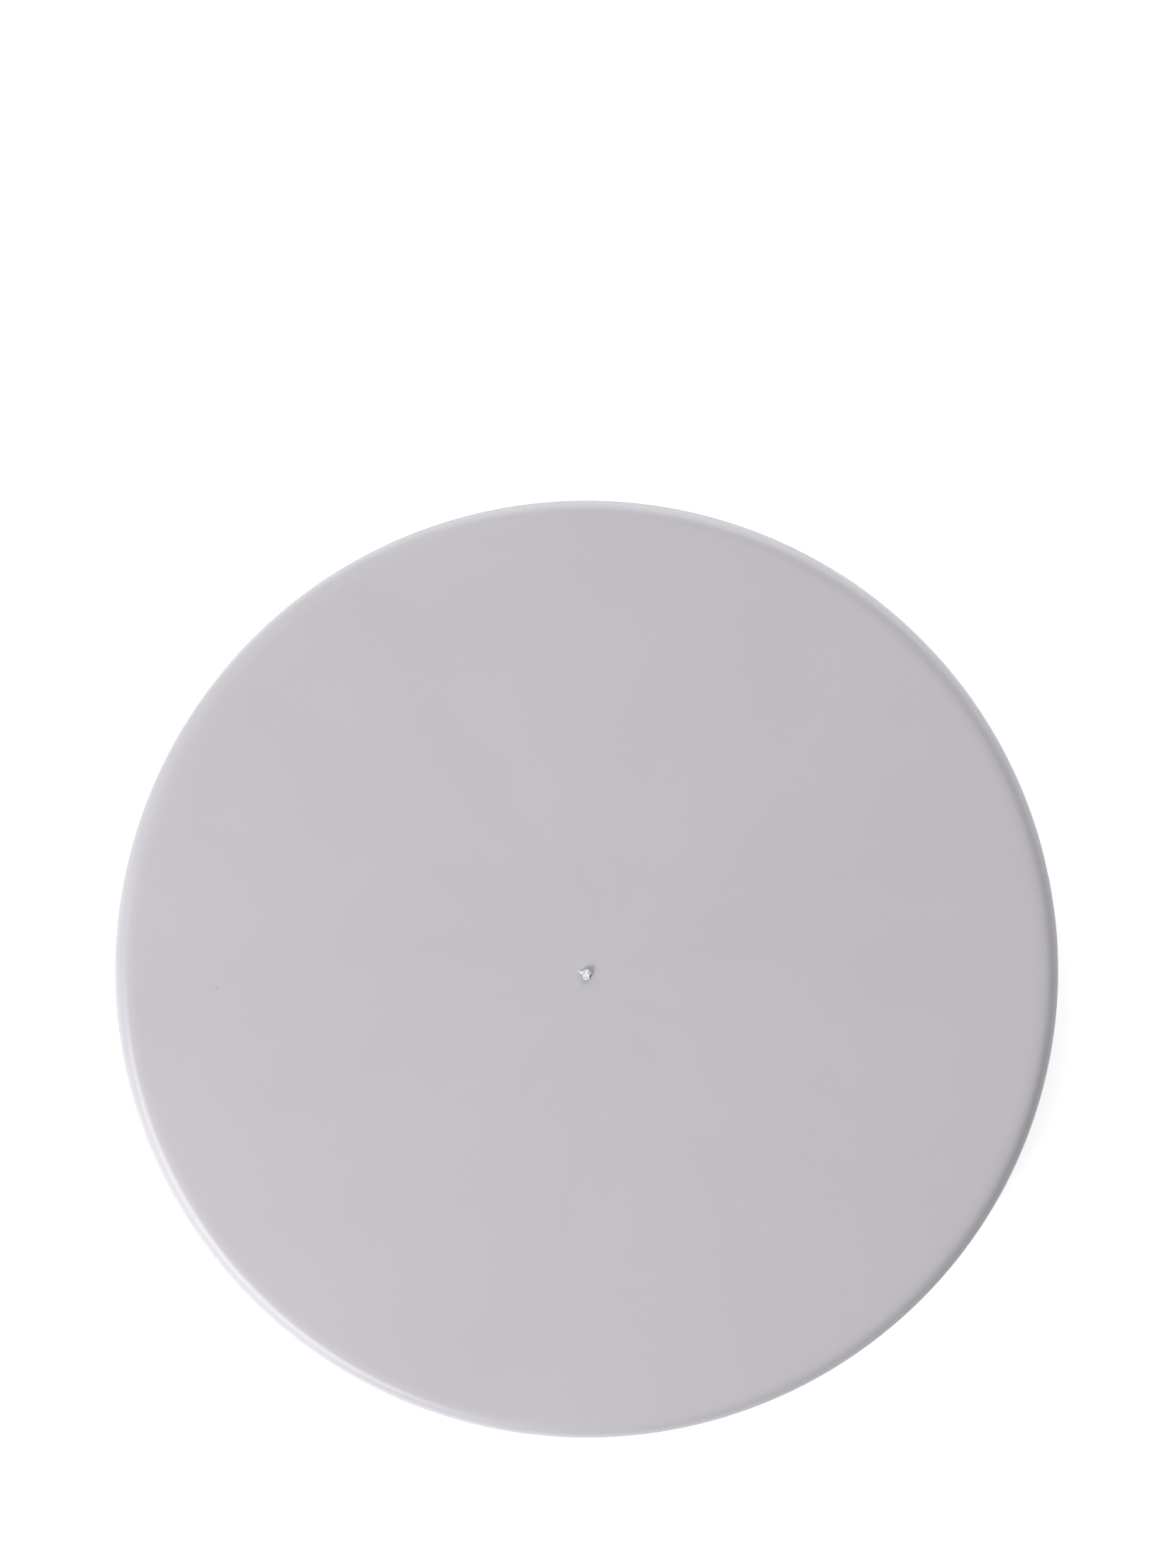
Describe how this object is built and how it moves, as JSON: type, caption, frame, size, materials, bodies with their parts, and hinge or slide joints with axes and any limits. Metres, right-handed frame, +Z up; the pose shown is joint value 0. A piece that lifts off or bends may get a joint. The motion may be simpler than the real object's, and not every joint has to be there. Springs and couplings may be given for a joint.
{
  "type": "turntable",
  "caption": "Round smooth-topped kitchen turntable: a shallow skirted plate turning on a ring of caged balls above a smaller ribbed base with rubber feet.",
  "frame": {"origin": "on the table under the middle of the turntable, at the height of the feet's undersides", "axes": "+Z up along the turning axis; +X towards the first foot and the first ball; the part is round"},
  "size_m": [0.3, 0.3, 0.0317],
  "materials": {
    "plate_plastic": "light grey moulded plastic, polished",
    "base_plastic": "light grey moulded plastic, fine texture",
    "cage_plastic": "natural off-white moulded plastic",
    "ball_steel": "polished steel",
    "fastener_steel": "zinc-plated steel",
    "foot_rubber": "dark matt rubber"
  },
  "bodies": {
    "stand": {"base": "base_plastic", "foot_01": "foot_rubber", "foot_02": "foot_rubber", "foot_03": "foot_rubber", "foot_04": "foot_rubber", "foot_05": "foot_rubber", "foot_06": "foot_rubber"},
    "turntable": {"top_plate": "plate_plastic", "pivot_screw": "fastener_steel", "pivot_washer": "fastener_steel"},
    "cage": {"ball_cage": "cage_plastic"},
    "ball_01": {"ball_01": "ball_steel"},
    "ball_02": {"ball_02": "ball_steel"},
    "ball_03": {"ball_03": "ball_steel"},
    "ball_04": {"ball_04": "ball_steel"},
    "ball_05": {"ball_05": "ball_steel"},
    "ball_06": {"ball_06": "ball_steel"},
    "ball_07": {"ball_07": "ball_steel"},
    "ball_08": {"ball_08": "ball_steel"},
    "ball_09": {"ball_09": "ball_steel"},
    "ball_10": {"ball_10": "ball_steel"},
    "ball_11": {"ball_11": "ball_steel"},
    "ball_12": {"ball_12": "ball_steel"},
    "ball_13": {"ball_13": "ball_steel"},
    "ball_14": {"ball_14": "ball_steel"},
    "ball_15": {"ball_15": "ball_steel"},
    "ball_16": {"ball_16": "ball_steel"}
  },
  "joints": [
    {"name": "turntable_spin", "type": "hinge", "parent": "stand", "child": "turntable", "pos_m": [0, 0, 0.02], "axis": [0, 0, 1], "continuous": true},
    {"name": "cage_orbit", "type": "hinge", "parent": "stand", "child": "cage", "pos_m": [0, 0, 0.02278], "axis": [0, 0, 1], "continuous": true},
    {"name": "ball_01_roll", "type": "hinge", "parent": "cage", "child": "ball_01", "pos_m": [0.096, 0, 0.02278], "axis": [1, 0, 0], "continuous": true},
    {"name": "ball_02_roll", "type": "hinge", "parent": "cage", "child": "ball_02", "pos_m": [0.08869, 0.03674, 0.02278], "axis": [0.9239, 0.3827, 0], "continuous": true},
    {"name": "ball_03_roll", "type": "hinge", "parent": "cage", "child": "ball_03", "pos_m": [0.06788, 0.06788, 0.02278], "axis": [0.7071, 0.7071, 0], "continuous": true},
    {"name": "ball_04_roll", "type": "hinge", "parent": "cage", "child": "ball_04", "pos_m": [0.03674, 0.08869, 0.02278], "axis": [0.3827, 0.9239, 0], "continuous": true},
    {"name": "ball_05_roll", "type": "hinge", "parent": "cage", "child": "ball_05", "pos_m": [0, 0.096, 0.02278], "axis": [0, 1, 0], "continuous": true},
    {"name": "ball_06_roll", "type": "hinge", "parent": "cage", "child": "ball_06", "pos_m": [-0.03674, 0.08869, 0.02278], "axis": [-0.3827, 0.9239, 0], "continuous": true},
    {"name": "ball_07_roll", "type": "hinge", "parent": "cage", "child": "ball_07", "pos_m": [-0.06788, 0.06788, 0.02278], "axis": [-0.7071, 0.7071, 0], "continuous": true},
    {"name": "ball_08_roll", "type": "hinge", "parent": "cage", "child": "ball_08", "pos_m": [-0.08869, 0.03674, 0.02278], "axis": [-0.9239, 0.3827, 0], "continuous": true},
    {"name": "ball_09_roll", "type": "hinge", "parent": "cage", "child": "ball_09", "pos_m": [-0.096, 0, 0.02278], "axis": [-1, 0, 0], "continuous": true},
    {"name": "ball_10_roll", "type": "hinge", "parent": "cage", "child": "ball_10", "pos_m": [-0.08869, -0.03674, 0.02278], "axis": [-0.9239, -0.3827, 0], "continuous": true},
    {"name": "ball_11_roll", "type": "hinge", "parent": "cage", "child": "ball_11", "pos_m": [-0.06788, -0.06788, 0.02278], "axis": [-0.7071, -0.7071, 0], "continuous": true},
    {"name": "ball_12_roll", "type": "hinge", "parent": "cage", "child": "ball_12", "pos_m": [-0.03674, -0.08869, 0.02278], "axis": [-0.3827, -0.9239, 0], "continuous": true},
    {"name": "ball_13_roll", "type": "hinge", "parent": "cage", "child": "ball_13", "pos_m": [0, -0.096, 0.02278], "axis": [0, -1, 0], "continuous": true},
    {"name": "ball_14_roll", "type": "hinge", "parent": "cage", "child": "ball_14", "pos_m": [0.03674, -0.08869, 0.02278], "axis": [0.3827, -0.9239, 0], "continuous": true},
    {"name": "ball_15_roll", "type": "hinge", "parent": "cage", "child": "ball_15", "pos_m": [0.06788, -0.06788, 0.02278], "axis": [0.7071, -0.7071, 0], "continuous": true},
    {"name": "ball_16_roll", "type": "hinge", "parent": "cage", "child": "ball_16", "pos_m": [0.08869, -0.03674, 0.02278], "axis": [0.9239, -0.3827, 0], "continuous": true}
  ],
  "couplings": [
    {"joint": "cage_orbit", "follows": "turntable_spin", "ratio": 0.5},
    {"joint": "ball_01_roll", "follows": "turntable_spin", "ratio": -12},
    {"joint": "ball_02_roll", "follows": "turntable_spin", "ratio": -12},
    {"joint": "ball_03_roll", "follows": "turntable_spin", "ratio": -12},
    {"joint": "ball_04_roll", "follows": "turntable_spin", "ratio": -12},
    {"joint": "ball_05_roll", "follows": "turntable_spin", "ratio": -12},
    {"joint": "ball_06_roll", "follows": "turntable_spin", "ratio": -12},
    {"joint": "ball_07_roll", "follows": "turntable_spin", "ratio": -12},
    {"joint": "ball_08_roll", "follows": "turntable_spin", "ratio": -12},
    {"joint": "ball_09_roll", "follows": "turntable_spin", "ratio": -12},
    {"joint": "ball_10_roll", "follows": "turntable_spin", "ratio": -12},
    {"joint": "ball_11_roll", "follows": "turntable_spin", "ratio": -12},
    {"joint": "ball_12_roll", "follows": "turntable_spin", "ratio": -12},
    {"joint": "ball_13_roll", "follows": "turntable_spin", "ratio": -12},
    {"joint": "ball_14_roll", "follows": "turntable_spin", "ratio": -12},
    {"joint": "ball_15_roll", "follows": "turntable_spin", "ratio": -12},
    {"joint": "ball_16_roll", "follows": "turntable_spin", "ratio": -12}
  ]
}
